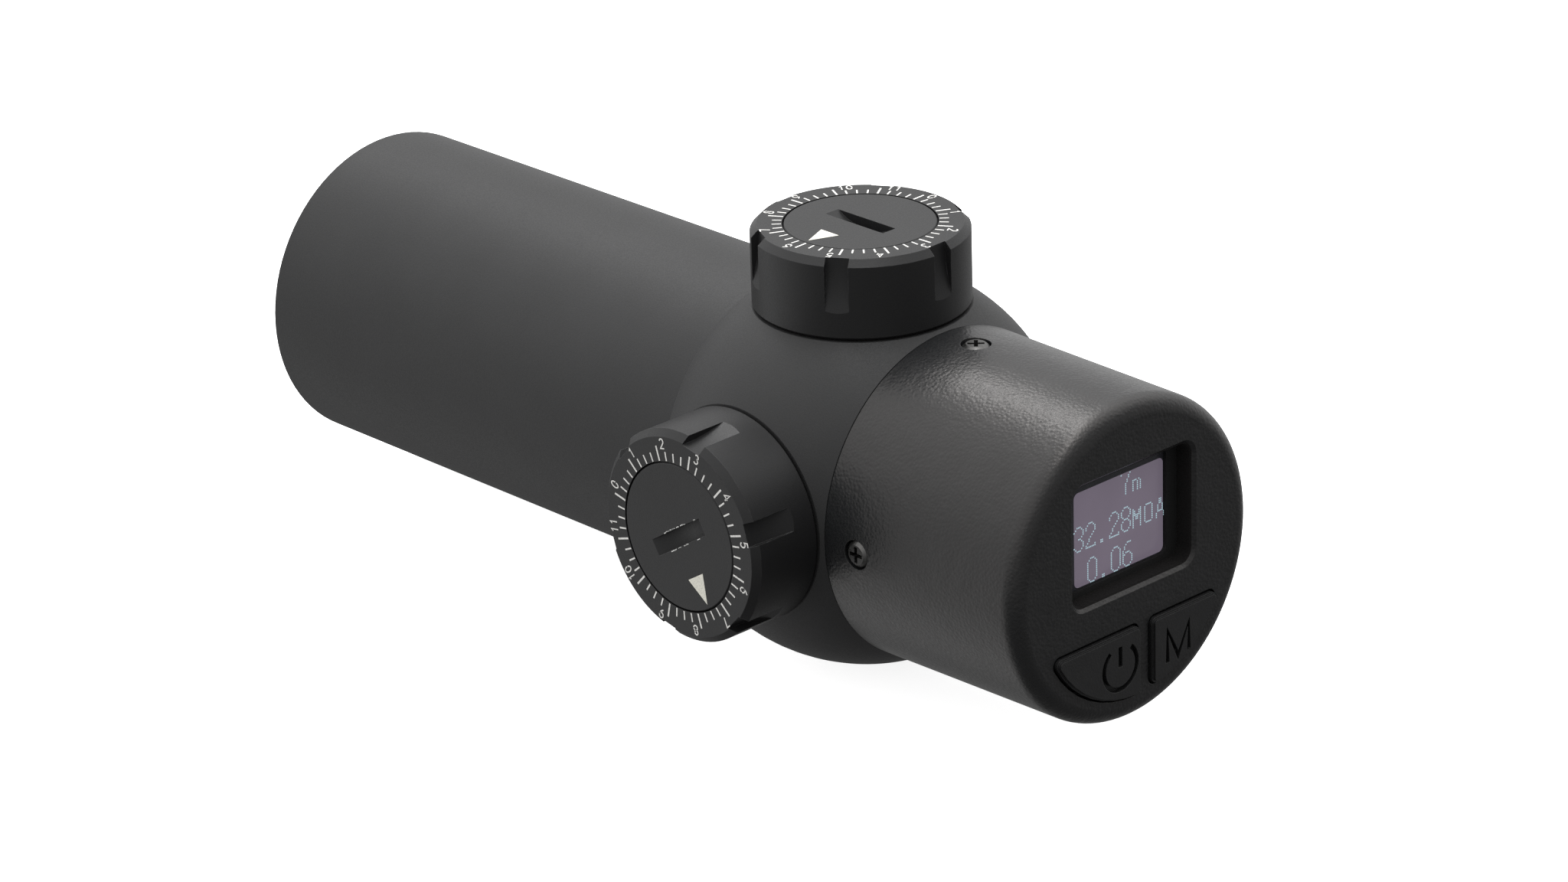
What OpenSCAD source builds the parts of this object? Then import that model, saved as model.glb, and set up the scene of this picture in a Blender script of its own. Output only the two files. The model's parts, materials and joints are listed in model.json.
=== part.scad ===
// Tubular rangefinder sight: a clamp tube with two adjustment turrets, a tilting optical
// carriage inside, and a rear housing with a display and two buttons.
// +Y points forward along the tube, +Z up, -X to the user's left.
// The origin is on the tube axis, at the middle of the length that clamp rings hold.

/* [Tube] */
// Outside diameter of the clamp tube
tube_d = 34; // [30:1:36]
// Distance from the turret axes to the front end of the tube
front_l = 74.7; // [72:0.1:90]
// Distance from the turret axes to the rear face
rear_l = 37.3; // [36:0.1:42]
// Length of plain tube that clamp rings may hold
seat_l = 60; // [40:1:60]
// Wall of the clamp tube
tube_wall = 1.8; // [1.5:0.1:2.2]

/* [Saddle and rear housing] */
// Diameter of the round saddle that carries the turrets
saddle_d = 41.6; // [40:0.1:43]
// Distance from the turret axes back to the housing seam
seam_l = 11.6; // [11:0.1:12.4]
// Outside radius of the rear housing at the seam
cap_front_r = 17.3; // [17:0.1:17.6]
// Outside radius of the rear housing at its rear edge
cap_rear_r = 16.95; // [16.5:0.05:17.2]
// Round on the rear edge
cap_round = 1.8; // [1:0.1:3]
// Thickness of the rear face
face_t = 2.2; // [1.8:0.1:2.4]

/* [Turrets] */
// Diameter of a dial
dial_d = 22.3; // [21:0.1:22.4]
// Height of a turret flat above the tube axis
flat_h = 17.5; // [17.3:0.1:17.8]
// Height of a turret's top above the tube axis
top_h = 26.1; // [25.5:0.1:27]
// Diameter of the slotted screw head in the dial
head_d = 15.56; // [15:0.01:16]
// Number of grip flutes on a dial
flutes = 6; // [4:1:8]
// Width of the coin slot
slot_w = 1.8; // [1.4:0.1:2.4]
// Depth of the coin slot
slot_depth = 1.2; // [0.8:0.1:1.6]
// Direction of the zero mark on the elevation dial
elevation_zero = 2.7; // [0:0.1:360]
// Direction of the zero mark on the windage dial
windage_zero = 77.6; // [0:0.1:360]
// Direction of the arrow on the elevation screw
elevation_arrow = 180; // [0:1:360]
// Direction of the arrow on the windage screw
windage_arrow = 212; // [0:1:360]

/* [Rear face] */
// Width of the display opening
window_w = 16.8; // [14:0.1:18]
// Height of the display opening
window_h = 12.7; // [11:0.1:14]
// Height of the opening's middle above the tube axis
window_z = 3.8; // [3:0.1:4.6]
// Radius of the two buttons' round edge
button_r = 13.4; // [13:0.1:13.6]
// How far the middle of that round edge lies below the tube axis
button_drop = 1; // [0:0.1:1.2]
// Height of the buttons' top edge, below the tube axis
button_top = 6.5; // [6:0.1:7]
// Width of the web between the two button openings
button_web = 1.3; // [0.8:0.1:1.6]
// Place of the web, to the right of the middle
button_mid = 1.2; // [0:0.1:1.5]
// How far the buttons stand out of the face
button_proud = 0.6; // [0.4:0.1:0.9]
// How far a button moves when pressed
button_travel = 0.4; // [0.2:0.1:0.4]

/* [Hidden] */
$fn = 96;
tube_r = tube_d / 2;
bore_r = tube_r - tube_wall;
// Place of the turret axes, behind the middle of the seat
turret_y = -(front_l - 1.3 - seat_l / 2);
edge_break = 0.25;
saddle_r = saddle_d / 2;

// Spigot on the main housing that the rear housing slides over
spigot_r = 14.95;
spigot_bore_r = 13.2;
spigot_l = 8;
screw_back = 4.4;
screw_hole_r = 0.8;
screw_head_r = 1.38;
screw_seat_r = 1.55;
screw_seat_depth = 1.1;

// Front window stack, measured back from the tube's front end
lip_r = 13.6;
lip_t = 1.8;
glass_seat = 5.4;
glass_r = bore_r + 0.1;
glass_t = 2;
seal_wire = 0.5;
ring_t = 1.9;

// One dial turn is 12 minutes of angle, so the gimbal sits where one thread pitch gives that angle
thread_pitch = 0.2;
turn_angle = 0.2;
gimbal_y = thread_pitch / tan(turn_angle);
gimbal_in_r = 12.9;
gimbal_out_r = 14.7;
gimbal_w = 6;
pin_r = 1;
pin_gap = 0.03;
pin_blind = 16.4;

// Optical carriage
carriage_r = 12.2;
carriage_bore_r = 10.9;
carriage_rear = -6;
carriage_front = 65.5;
pad_h = 12;
tip_gap = 0.05;
emitter_r = 3.5;
emitter_z = 6.6;
receiver_r = 6;
receiver_z = -3.9;
lens_plate_t = 4;

// Turret parts, measured outward from the tube axis
dial_r = dial_d / 2;
head_r = head_d / 2;
head_t = 3;
dial_lip_r = head_r + 0.1;
dial_base_h = flat_h + 0.12;
dial_chamfer = 0.7;
flute_w = 2.4;
flute_depth = 0.9;
flute_run = 5.6;
flute_cutter_r = (flute_run * flute_run + flute_depth * flute_depth) / (2 * flute_depth);
flange_r = 9.3;
flange_h = flat_h + 1.2;
cavity_r = flange_r + 0.2;
barrel_r = 5.95;
push_gap = 0.02;
spring_t = 0.45;
barrel_base_h = 13.4;
floor_h = 14.4;
stem_r = 3;
stem_gap = 0.05;
cup_r = 6.5;
cup_out_r = 7.1;
cup_base_h = 19.2;
cup_top_h = 21.6;
click_teeth = 48;
click_peak_r = 5.1;
click_valley_r = 5.35;
click_top_h = 20.7;
collar_r = 4.8;
ball_r = 0.6;
retainer_t = 0.6;
retainer_r = 3.8;
plunger_r = 1.5;
plunger_flat = 2.4;
plunger_top_h = 20.4;
plunger_key_h = 16.2;
dial_seal_r = 8.3;
dial_seal_wire = 0.95;

// Rear face parts, measured forward from the rear face
face_y = -rear_l;
plate_y = face_y + face_t;
cap_bore_r = 15.05;
window_round = 1.3;
window_bevel = 0.5;
edge_lap = 0.1;
seam_edge = 0.15;
seal_t = 0.4;
seal_open_w = 13.9;
seal_open_h = 11.4;
seal_border = 2.1;
panel_w = 18.4;
panel_h = 14.2;
panel_t = 1.5;
carrier_t = 2;
board_t = 1.2;
board_r = 14.2;
board_y = plate_y + seal_t + panel_t + carrier_t;
button_gap = 0.25;
button_corner = 0.9;
flange_t = 0.8;
flange_lap = 0.45;
stem_button_r = 1.1;
button_base_y = plate_y + 2.4;
switch_y = button_base_y + button_travel + 0.05;
pad_y = plate_y + 0.1 + flange_t + button_travel + 0.05;
pad_t = 0.3;
switch_w = 4.5;
key_x = 5;
key_z = -10;
boss_x = 12.1;
boss_z = 3.8;
boss_r = 2;
board_screw_r = 0.8;

// Battery and charging port
battery_w = 20;
battery_h = 9;
battery_rear = board_y + board_t + 1.6;
battery_front = carriage_rear - 3;
cradle_t = 1;
port_y = -27.5;
port_w = 8.9;
port_t = 3.2;
port_top = -8.6;
port_base = -14.9;
cover_l = 12;
cover_w = 6;
cover_t = 1.3;
cover_gap = 0.1;

// Placing: from the turret axes' crossing, and turning a revolve to lie along +Y
module at_turrets() translate([0, turret_y, 0]) children();
module along_y() rotate([-90, 0, 0]) children();
module on_windage() rotate([0, -90, 0]) children();

// Cylinder along +Y from y0 to y1
module rod_y(r, y0, y1) translate([0, y0, 0]) along_y() cylinder(r = r, h = y1 - y0);

// Tube along +Y
module tube_y(r_out, r_in, y0, y1) difference() {
    rod_y(r_out, y0, y1);
    rod_y(r_in, y0 - 1, y1 + 1);
}

// Ring along +Z
module ring_z(r_out, r_in, z0, z1) translate([0, 0, z0]) difference() {
    cylinder(r = r_out, h = z1 - z0);
    translate([0, 0, -1]) cylinder(r = r_in, h = z1 - z0 + 2);
}

// Flat outline in X and Z, given thickness from y0 to y1
module slab_y(y0, y1) translate([0, y1, 0]) rotate([90, 0, 0]) linear_extrude(y1 - y0) children();

// Rectangle with round corners, built from exact circles
module round_rect(w, h, r) union() {
    square([w - 2 * r, h], center = true);
    square([w, h - 2 * r], center = true);
    for (x = [-1, 1], y = [-1, 1]) translate([x * (w / 2 - r), y * (h / 2 - r)]) circle(r = r);
}

// ---- Housings ----
module front_shell() along_y() rotate_extrude() polygon([
    [0, 0], [tube_r, 0], [tube_r, front_l - edge_break], [tube_r - edge_break, front_l], [0, front_l]
]);

module saddle() intersection() {
    sphere(r = saddle_r, $fn = 128);
    translate([-flat_h, -seam_l, -saddle_r]) cube([flat_h + saddle_r, seam_l + saddle_r, saddle_r + flat_h]);
}

module main_housing() color("dimgray") at_turrets() difference() {
    union() {
        front_shell();
        saddle();
        rod_y(spigot_r, -seam_l - spigot_l, 0);
    }
    rod_y(bore_r, -seam_l + 3, front_l - glass_seat - lip_t);
    rod_y(spigot_bore_r, -seam_l - spigot_l - 1, 0);
    rod_y(lip_r, 0, front_l);
    rod_y(glass_r, front_l - glass_seat, front_l + 1);
    cylinder(r = barrel_r, h = saddle_r + 1);
    on_windage() cylinder(r = barrel_r, h = saddle_r + 1);
    translate([0, gimbal_y, 0]) cylinder(r = pin_r, h = 2 * pin_blind, center = true);
    at_screws() cylinder(r = screw_hole_r, h = spigot_r + 1);
}

// Four places around the spigot, each with +Z outward; $side is the angle from the top
module at_screws() for ($side = [0 : 90 : 270])
    translate([0, -seam_l - screw_back, 0]) rotate([0, $side, 0]) children();

// Solid of the rear housing: drafted side, round rear edge, flat face
module cap_outer() along_y() rotate_extrude() union() {
    polygon([
        [0, face_y], [cap_rear_r - cap_round, face_y], [cap_rear_r - cap_round, face_y + cap_round],
        [cap_rear_r, face_y + cap_round], [cap_front_r, -seam_l - seam_edge], [cap_front_r - seam_edge, -seam_l],
        [0, -seam_l]
    ]);
    intersection() {
        translate([cap_rear_r - cap_round, face_y + cap_round]) circle(r = cap_round);
        translate([0, face_y]) square([cap_rear_r, cap_round]);
    }
}

module window_opening() slab_y(face_y - 1, plate_y + 1)
    translate([0, window_z]) round_rect(window_w, window_h, window_round);

// Sloping edge around the display opening; it runs a little past both ends of the slope
module window_edge() hull() for (step = [-edge_lap, window_bevel + edge_lap])
    slab_y(face_y + step - 0.01, face_y + step) translate([0, window_z])
        round_rect(window_w + 2 * (window_bevel - step), window_h + 2 * (window_bevel - step),
            window_round + window_bevel - step, $fn = 32);

// Outline of one button opening: a round edge below, straight on top and at the web.
// A side of -1 is the left button, 1 the right one; inset shrinks the outline all round.
module button_outline(side, inset) offset(r = button_corner - inset, $fn = 48) offset(delta = -button_corner)
    intersection() {
        translate([0, -button_drop]) circle(r = button_r);
        translate([button_mid + (side > 0 ? button_web / 2 : -button_web / 2 - 2 * button_r), -3 * button_r])
            square([2 * button_r, 3 * button_r - button_top]);
    }

module rear_housing() color("#2b2a2a") at_turrets() difference() {
    union() {
        difference() {
            cap_outer();
            rod_y(cap_bore_r, plate_y, -seam_l + 1);
        }
        for (x = [-boss_x, boss_x]) translate([x, 0, boss_z]) rod_y(boss_r, plate_y - 0.1, board_y);
    }
    window_opening();
    window_edge();
    for (side = [-1, 1]) slab_y(face_y - 1, plate_y + 1) button_outline(side, 0);
    for (x = [-boss_x, boss_x]) translate([x, 0, boss_z]) rod_y(board_screw_r, plate_y + 0.4, board_y + 1);
    at_screws() cylinder(r = screw_hole_r + 0.1, h = cap_front_r + 1);
    at_screws() translate([0, 0, cap_front_r - screw_seat_depth]) cylinder(r = screw_seat_r, h = 3);
    translate([0, port_y, -cap_front_r - 1])
        linear_extrude(cap_front_r) round_rect(port_w + 0.6, port_t + 0.6, 1.8);
    translate([0, port_y, -cap_front_r - 1])
        linear_extrude(1 + cover_t) round_rect(cover_l + 2 * cover_gap, cover_w + 2 * cover_gap, 2);
}

// One pan-head screw with a cross recess, head outward along +Z
module housing_screw() difference() {
    union() {
        translate([0, 0, cap_front_r - screw_seat_depth]) cylinder(r = screw_head_r, h = 0.75);
        translate([0, 0, cap_front_r - screw_seat_depth + 0.75])
            cylinder(r1 = screw_head_r, r2 = screw_head_r - 0.35, h = 0.3);
        translate([0, 0, spigot_bore_r + 0.3]) cylinder(r = screw_hole_r, h = 3);
    }
    for (a = [0, 90]) rotate([0, 0, a]) translate([-0.85, -0.2, cap_front_r - 0.85]) cube([1.7, 0.4, 2]);
}

// The upper and lower screws stopped an eighth of a turn from the side ones
module housing_screws() color("silver") at_turrets() at_screws()
    rotate([0, 0, $side % 180 == 0 ? 45 : 0]) housing_screw();

// ---- Front window ----
module front_window() color("lightsteelblue") at_turrets()
    rod_y(glass_r - 0.1, front_l - glass_seat + 2 * seal_wire, front_l - glass_seat + 2 * seal_wire + glass_t);

module front_seal() color("black") at_turrets() translate([0, front_l - glass_seat + seal_wire, 0]) along_y()
    rotate_extrude() translate([lip_r + 0.9, 0]) circle(r = seal_wire, $fn = 32);

module front_retaining_ring() color("black") at_turrets() difference() {
    tube_y(glass_r, lip_r - 0.4, front_l - 0.5 - ring_t, front_l - 0.5);
    translate([-glass_r - 1, front_l - 1.5, -1]) cube([2 * glass_r + 2, 2, 2]);
}

// ---- Gimbal and carriage ----
module gimbal_pins() color("silver") at_turrets() translate([0, gimbal_y, 0]) for (s = [-1, 1]) mirror([0, 0, s < 0 ? 1 : 0])
    translate([0, 0, gimbal_in_r + 0.1]) cylinder(r = pin_r, h = pin_blind - gimbal_in_r - 0.1);

module gimbal_ring() color("gray") at_turrets() difference() {
    tube_y(gimbal_out_r, gimbal_in_r, gimbal_y - gimbal_w / 2, gimbal_y + gimbal_w / 2);
    translate([0, gimbal_y, 0]) for (a = [0, 90]) rotate([0, a, 0])
        cylinder(r = pin_r + pin_gap, h = 2 * tube_r, center = true);
}

module carriage_tube() color("gray") at_turrets() difference() {
    rod_y(carriage_r, carriage_rear, carriage_front);
    rod_y(carriage_bore_r, carriage_rear - 1, carriage_front + 1);
    translate([-5, -5, pad_h]) cube([10, 10, 2]);
    translate([-pad_h - 2, -5, -5]) cube([2, 10, 10]);
    translate([0, gimbal_y, 0]) rotate([0, 90, 0]) cylinder(r = pin_r, h = 2 * tube_r, center = true);
}

module carriage_pins() color("silver") at_turrets() translate([0, gimbal_y, 0]) for (s = [-1, 1])
    mirror([s < 0 ? 1 : 0, 0, 0]) translate([carriage_bore_r, 0, 0]) rotate([0, 90, 0])
        cylinder(r = pin_r, h = gimbal_out_r - 0.2 - carriage_bore_r);

module lens_plate() color("black") at_turrets() difference() {
    rod_y(carriage_bore_r, carriage_front - lens_plate_t, carriage_front);
    translate([0, 0, emitter_z]) rod_y(emitter_r, 0, carriage_front + 1);
    translate([0, 0, receiver_z]) rod_y(receiver_r, 0, carriage_front + 1);
}

// Plano-convex lens: a disc under a spherical cap, flat side to the rear
module lens(r, edge_t, dome_r) along_y() intersection() {
    cylinder(r = r, h = 4);
    translate([0, 0, edge_t - sqrt(dome_r * dome_r - r * r)]) sphere(r = dome_r);
}

module emitter_lens() color("lightsteelblue") at_turrets()
    translate([0, carriage_front - 3, emitter_z]) lens(emitter_r, 1.2, 9);

module receiver_lens() color("lightsteelblue") at_turrets()
    translate([0, carriage_front - 3.4, receiver_z]) lens(receiver_r, 1.2, 14);

module laser_emitter() color("goldenrod") at_turrets() translate([0, 0, emitter_z]) union() {
    rod_y(2.8, 43, 44.2);
    rod_y(2.35, 44.2, 47.5);
    rod_y(1.4, 38, 43);
}

module photodiode() color("goldenrod") at_turrets() translate([0, 0, receiver_z]) union() {
    rod_y(4.2, 40, 41.4);
    rod_y(3.6, 41.4, 44.5);
    rod_y(1.6, 36, 40);
}

module ranging_board() color("darkgreen") at_turrets() translate([0, 6, 0]) union() {
    translate([-9, -8, 1.2]) cube([18, 52, 1.2]);
    translate([-5, 0, 2.4]) cube([7, 7, 1]);
    translate([-6, 16, 2.4]) cube([12, 5, 2]);
    translate([-3.5, -6, -1.2]) cube([8, 12, 2.4]);
}

// Curved leaf that holds the carriage against both plungers, under the right side
module bias_spring() color("silver") at_turrets() intersection() {
    tube_y(bore_r - push_gap, bore_r - spring_t, 2, 40);
    rotate([0, 45, 0]) translate([0, 0, -3]) cube([2 * tube_r, 100, 6]);
}

// ---- Turret parts, each drawn along +Z from the tube axis ----
module bushing() difference() {
    union() {
        translate([0, 0, barrel_base_h]) cylinder(r = barrel_r - push_gap, h = flat_h - barrel_base_h + 0.5);
        translate([0, 0, flat_h]) cylinder(r = flange_r, h = flange_h - flat_h);
        translate([0, 0, flat_h]) cylinder(r = cup_out_r, h = cup_top_h - flat_h);
    }
    translate([0, 0, floor_h]) cylinder(r = stem_r + stem_gap, h = 10);
    translate([0, 0, cup_base_h]) cylinder(r = cup_r, h = 10);
    intersection() {
        cylinder(r = plunger_r + 0.05, h = floor_h + 1);
        translate([-5, -plunger_flat / 2 - 0.05, 0]) cube([10, plunger_flat + 0.1, floor_h + 1]);
    }
}

// Star outline with one tooth per click
module click_outline() polygon([
    for (i = [0 : 2 * click_teeth - 1])
        let (a = 180 * i / click_teeth, r = i % 2 == 0 ? click_valley_r : click_peak_r)
            [r * cos(a), r * sin(a)]
]);

module click_ring() translate([0, 0, cup_base_h]) linear_extrude(click_top_h - cup_base_h) difference() {
    circle(r = cup_r);
    click_outline();
}

module retainer() ring_z(cup_r, retainer_r, click_top_h + 0.1, click_top_h + 0.1 + retainer_t);

module dial_seal() translate([0, 0, flange_h + dial_seal_wire]) rotate_extrude()
    translate([dial_seal_r, 0]) circle(r = dial_seal_wire, $fn = 32);

// Adjustment screw: slotted head, click collar and threaded stem
module adjusting_screw(arrow) difference() {
    union() {
        translate([0, 0, floor_h + 0.1]) cylinder(r = stem_r, h = top_h - head_t - floor_h);
        translate([0, 0, cup_base_h + 0.05]) cylinder(r = collar_r, h = click_top_h - cup_base_h - 0.05);
        translate([0, 0, click_top_h]) cylinder(r = 3.6, h = top_h - head_t - click_top_h + 0.1);
        translate([0, 0, top_h - head_t]) cylinder(r = head_r, h = head_t - 0.15);
        translate([0, 0, top_h - 0.15]) cylinder(r1 = head_r, r2 = head_r - 0.15, h = 0.15);
    }
    cylinder(r = plunger_r + pin_gap, h = plunger_top_h + 1.2);
    rotate([0, 0, arrow]) coin_slot();
    rotate([0, 0, arrow]) translate([2.6, 0, (cup_base_h + click_top_h) / 2]) rotate([0, 90, 0])
        cylinder(r = ball_r + 0.02, h = 4);
}

// Slot cut by a disc, so that its floor is curved; it runs across the arrow
module coin_slot() let (half = 4.1, cutter = (half * half + slot_depth * slot_depth) / (2 * slot_depth))
    translate([-slot_w / 2, 0, top_h + cutter - slot_depth]) rotate([0, 90, 0]) cylinder(r = cutter, h = slot_w);

// Ball and its spring, in the collar of the screw
module click_ball(arrow) rotate([0, 0, arrow]) translate([0, 0, (cup_base_h + click_top_h) / 2]) union() {
    translate([click_peak_r - 0.05 - ball_r, 0, 0]) sphere(r = ball_r, $fn = 32);
    translate([2.7, 0, 0]) rotate([0, 90, 0]) cylinder(r = 0.4, h = 1.4);
}

module plunger() union() {
    intersection() {
        translate([0, 0, pad_h + tip_gap]) cylinder(r = plunger_r, h = plunger_key_h - pad_h - tip_gap);
        translate([-5, -plunger_flat / 2, 0]) cube([10, plunger_flat, plunger_key_h]);
        translate([0, 0, pad_h + tip_gap + 4]) sphere(r = 4);
    }
    translate([0, 0, plunger_key_h - 0.2]) cylinder(r = plunger_r, h = plunger_top_h - plunger_key_h + 0.2);
}

// Dial: fluted ring around the screw head, open below for the bushing
module dial(zero) difference() {
    rotate_extrude() polygon([
        [dial_lip_r, top_h], [dial_lip_r, top_h - head_t - 0.2], [cavity_r, top_h - head_t - 0.2],
        [cavity_r, dial_base_h], [dial_r - 0.3, dial_base_h], [dial_r, dial_base_h + 0.3],
        [dial_r, top_h - dial_chamfer], [dial_r - dial_chamfer, top_h]
    ]);
    for (i = [0 : flutes - 1]) rotate([0, 0, zero + 180 / flutes + 360 * i / flutes])
        translate([dial_r - flute_depth + flute_cutter_r, 0, top_h]) rotate([90, 0, 0])
            cylinder(r = flute_cutter_r, h = flute_w, center = true);
}

module elevation_bushing() color("darkgoldenrod") at_turrets() bushing();
module elevation_click_ring() color("silver") at_turrets() click_ring();
module elevation_retainer() color("silver") at_turrets() retainer();
module elevation_dial_seal() color("black") at_turrets() dial_seal();
module elevation_screw() color("#222222") at_turrets() adjusting_screw(elevation_arrow);
module elevation_click_ball() color("silver") at_turrets() click_ball(elevation_arrow);
module elevation_plunger() color("silver") at_turrets() plunger();
module elevation_dial() color("#222222") at_turrets() dial(elevation_zero);

module windage_bushing() color("darkgoldenrod") at_turrets() on_windage() bushing();
module windage_click_ring() color("silver") at_turrets() on_windage() click_ring();
module windage_retainer() color("silver") at_turrets() on_windage() retainer();
module windage_dial_seal() color("black") at_turrets() on_windage() dial_seal();
module windage_screw() color("#222222") at_turrets() on_windage() adjusting_screw(windage_arrow);
module windage_click_ball() color("silver") at_turrets() on_windage() click_ball(windage_arrow);
module windage_plunger() color("silver") at_turrets() on_windage() plunger();
module windage_dial() color("#222222") at_turrets() on_windage() dial(windage_zero);

// ---- Display and buttons ----
module display_seal() color("black") at_turrets() slab_y(plate_y, plate_y + seal_t) translate([0, window_z]) difference() {
    square([seal_open_w + 2 * seal_border, seal_open_h + 2 * seal_border], center = true);
    round_rect(seal_open_w, seal_open_h, 1);
}

module display_panel() color("slategray") at_turrets() slab_y(plate_y + seal_t, plate_y + seal_t + panel_t)
    translate([0, window_z]) square([panel_w, panel_h], center = true);

module display_carrier() color("black") at_turrets()
    slab_y(plate_y + seal_t + panel_t, board_y) translate([0, window_z]) difference() {
        square([panel_w, panel_h], center = true);
        square([panel_w - 3, panel_h - 3], center = true);
    }

module main_board() color("darkgreen") at_turrets() difference() {
    rod_y(board_r, board_y, board_y + board_t);
    for (x = [-boss_x, boss_x]) translate([x, 0, boss_z]) rod_y(board_screw_r + 0.1, board_y - 1, board_y + 3);
}

module board_screws() color("silver") at_turrets() for (x = [-boss_x, boss_x]) translate([x, 0, boss_z]) difference() {
    union() {
        rod_y(board_screw_r, board_y - 2.5, board_y + board_t);
        rod_y(1.5, board_y + board_t, board_y + board_t + 0.9);
    }
    for (a = [0, 90]) rotate([0, a, 0]) translate([-0.9, board_y + board_t + 0.4, -0.2]) cube([1.8, 1, 0.4]);
}

module tact_switch(side) translate([button_mid + side * key_x, 0, key_z]) union() {
    slab_y(switch_y + 0.3, board_y) square(switch_w, center = true);
    rod_y(1.2, switch_y, switch_y + 0.4);
}

module power_switch() color("dimgray") at_turrets() tact_switch(-1);
module mode_switch() color("dimgray") at_turrets() tact_switch(1);

// Rubber sheet behind the buttons, with a hole for each stem
module button_seal() color("black") at_turrets() slab_y(pad_y, pad_y + pad_t) difference() {
    intersection() {
        circle(r = 14.8);
        translate([-14, -15 - button_top + 0.8]) square([28, 15]);
    }
    for (side = [-1, 1]) translate([button_mid + side * key_x, key_z]) circle(r = stem_button_r + 0.3);
}

// Button: cap through the face, flange behind it, and a stem to its switch
module button(side) union() {
    slab_y(face_y - button_proud + 0.3, plate_y + 0.2) button_outline(side, button_gap);
    slab_y(face_y - button_proud, face_y - button_proud + 0.3) button_outline(side, button_gap + 0.2);
    slab_y(plate_y + 0.1, plate_y + 0.1 + flange_t) intersection() {
        button_outline(side, -flange_lap);
        circle(r = cap_bore_r - 0.3);
        translate([button_mid + (side > 0 ? 0.15 : -20.15), -20]) square(20);
    }
    translate([button_mid + side * key_x, 0, key_z]) rod_y(stem_button_r, plate_y + 0.5, button_base_y);
}

module power_button() color("#232323") at_turrets() button(-1);
module mode_button() color("#232323") at_turrets() button(1);

// ---- Battery and charging port ----
module battery() color("steelblue") at_turrets() translate([-battery_w / 2, battery_rear, -battery_h / 2])
    cube([battery_w, battery_front - battery_rear, battery_h]);

// Open tray under the battery; its floor reaches back to the main board
module battery_cradle() color("#303030") at_turrets() union() {
    difference() {
        translate([-battery_w / 2 - cradle_t, battery_rear, -battery_h / 2 - cradle_t])
            cube([battery_w + 2 * cradle_t, battery_front - battery_rear, battery_h]);
        translate([-battery_w / 2, battery_rear - 1, -battery_h / 2])
            cube([battery_w, battery_front - battery_rear + 2, battery_h]);
    }
    translate([-battery_w / 2, board_y + board_t, -battery_h / 2 - cradle_t])
        cube([battery_w, battery_rear - board_y - board_t + 1, cradle_t]);
}

module charge_port() color("silver") at_turrets() translate([0, port_y, port_base]) difference() {
    linear_extrude(port_top - port_base) round_rect(port_w, port_t, 1.5);
    translate([0, 0, -1]) linear_extrude(port_top - port_base) round_rect(port_w - 0.6, port_t - 0.6, 1.2);
}

module charge_board() color("darkgreen") at_turrets()
    translate([-7, board_y + board_t, port_top]) cube([14, 6, 1]);

// Rubber cover over the port: a plate that follows the housing, and a tongue
module port_cover() color("#1c1c1c") at_turrets() union() {
    intersection() {
        translate([0, port_y, -cap_front_r]) linear_extrude(cover_t) round_rect(cover_l, cover_w, 1.9);
        cap_outer();
    }
    translate([0, port_y, -cap_front_r + 0.4])
        linear_extrude(2.4) round_rect(port_w - 1.4, port_t - 1.4, 0.7);
}

main_housing();
rear_housing();
housing_screws();
front_window();
front_seal();
front_retaining_ring();
gimbal_pins();
gimbal_ring();
carriage_tube();
carriage_pins();
lens_plate();
emitter_lens();
receiver_lens();
laser_emitter();
photodiode();
ranging_board();
bias_spring();
elevation_bushing();
elevation_click_ring();
elevation_retainer();
elevation_dial_seal();
elevation_screw();
elevation_click_ball();
elevation_plunger();
elevation_dial();
windage_bushing();
windage_click_ring();
windage_retainer();
windage_dial_seal();
windage_screw();
windage_click_ball();
windage_plunger();
windage_dial();
display_seal();
display_panel();
display_carrier();
main_board();
board_screws();
power_switch();
mode_switch();
button_seal();
power_button();
mode_button();
battery();
battery_cradle();
charge_port();
charge_board();
port_cover();
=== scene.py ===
"""Rangefinder sight: the looks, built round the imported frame. Lengths are in metres."""

import json
import math
import random

import bmesh
import bpy
from mathutils import Matrix, Vector


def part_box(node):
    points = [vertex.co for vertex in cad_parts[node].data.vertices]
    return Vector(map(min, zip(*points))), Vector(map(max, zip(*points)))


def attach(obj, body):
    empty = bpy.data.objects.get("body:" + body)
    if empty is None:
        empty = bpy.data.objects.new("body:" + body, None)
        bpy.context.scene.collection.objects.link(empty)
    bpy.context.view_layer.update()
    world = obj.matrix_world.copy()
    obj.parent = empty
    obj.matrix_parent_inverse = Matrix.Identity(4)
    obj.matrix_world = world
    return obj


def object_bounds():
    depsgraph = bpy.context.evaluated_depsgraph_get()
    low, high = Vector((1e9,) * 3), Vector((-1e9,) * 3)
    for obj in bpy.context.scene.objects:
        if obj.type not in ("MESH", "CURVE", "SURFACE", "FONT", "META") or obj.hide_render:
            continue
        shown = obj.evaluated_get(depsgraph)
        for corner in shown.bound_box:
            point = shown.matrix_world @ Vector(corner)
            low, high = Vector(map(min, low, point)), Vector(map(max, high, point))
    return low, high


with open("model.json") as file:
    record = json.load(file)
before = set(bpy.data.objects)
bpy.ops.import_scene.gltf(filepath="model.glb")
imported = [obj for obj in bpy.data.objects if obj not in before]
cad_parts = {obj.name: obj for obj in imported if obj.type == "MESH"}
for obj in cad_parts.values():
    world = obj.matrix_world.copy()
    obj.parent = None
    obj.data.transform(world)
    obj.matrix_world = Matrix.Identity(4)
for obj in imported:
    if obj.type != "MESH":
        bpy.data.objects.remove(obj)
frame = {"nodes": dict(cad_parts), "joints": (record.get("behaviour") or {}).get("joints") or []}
CAD_BOX = [list(corner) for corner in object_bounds()]

MM = 0.001
JOINT = {joint["name"]: joint for joint in frame["joints"]}
NODES = frame["nodes"]

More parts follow.
